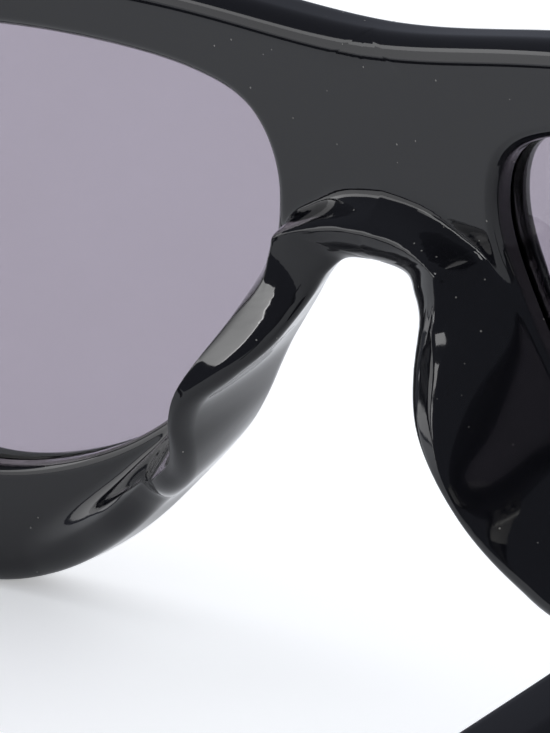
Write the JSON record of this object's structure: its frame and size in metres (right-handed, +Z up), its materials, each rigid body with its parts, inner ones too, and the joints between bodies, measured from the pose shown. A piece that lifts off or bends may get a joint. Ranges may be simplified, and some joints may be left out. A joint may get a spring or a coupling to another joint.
{
  "type": "sunglasses",
  "caption": "Full-rim plastic sunglasses: saddle bridge with built-up nose pads, tinted lenses and folding temples on barrel hinges.",
  "frame": {"origin": "centre of the whole pair's footprint, on the surface that its lower rims and temple tips stand on", "axes": "the wearer looks along -Y, the wearer's left is +X, +Z is up; the two halves mirror each other across X = 0"},
  "size_m": [0.1488, 0.14, 0.054],
  "materials": {
    "black_acetate": "polished black cellulose acetate",
    "tinted_lens": "polished, even mauve-grey tint",
    "hinge_steel": "satin",
    "screw_steel": "bright",
    "core_wire_steel": "drawn"
  },
  "bodies": {
    "front": {"front_frame": "black_acetate", "lens_left": "tinted_lens", "lens_right": "tinted_lens", "front_hinge_left": "hinge_steel", "front_hinge_right": "hinge_steel", "hinge_screw_left": "screw_steel", "hinge_screw_right": "screw_steel"},
    "left_temple": {"temple_left": "black_acetate", "temple_hinge_left": "hinge_steel", "core_wire_left": "core_wire_steel"},
    "right_temple": {"temple_right": "black_acetate", "temple_hinge_right": "hinge_steel", "core_wire_right": "core_wire_steel"}
  },
  "joints": [
    {"name": "left_fold", "type": "hinge", "parent": "front", "child": "left_temple", "pos_m": [0.067, -0.05383, 0.044], "axis": [0, 0, 1], "range_deg": [0, 90]},
    {"name": "right_fold", "type": "hinge", "parent": "front", "child": "right_temple", "pos_m": [-0.067, -0.05383, 0.044], "axis": [0, 0, -1], "range_deg": [0, 83]}
  ]
}
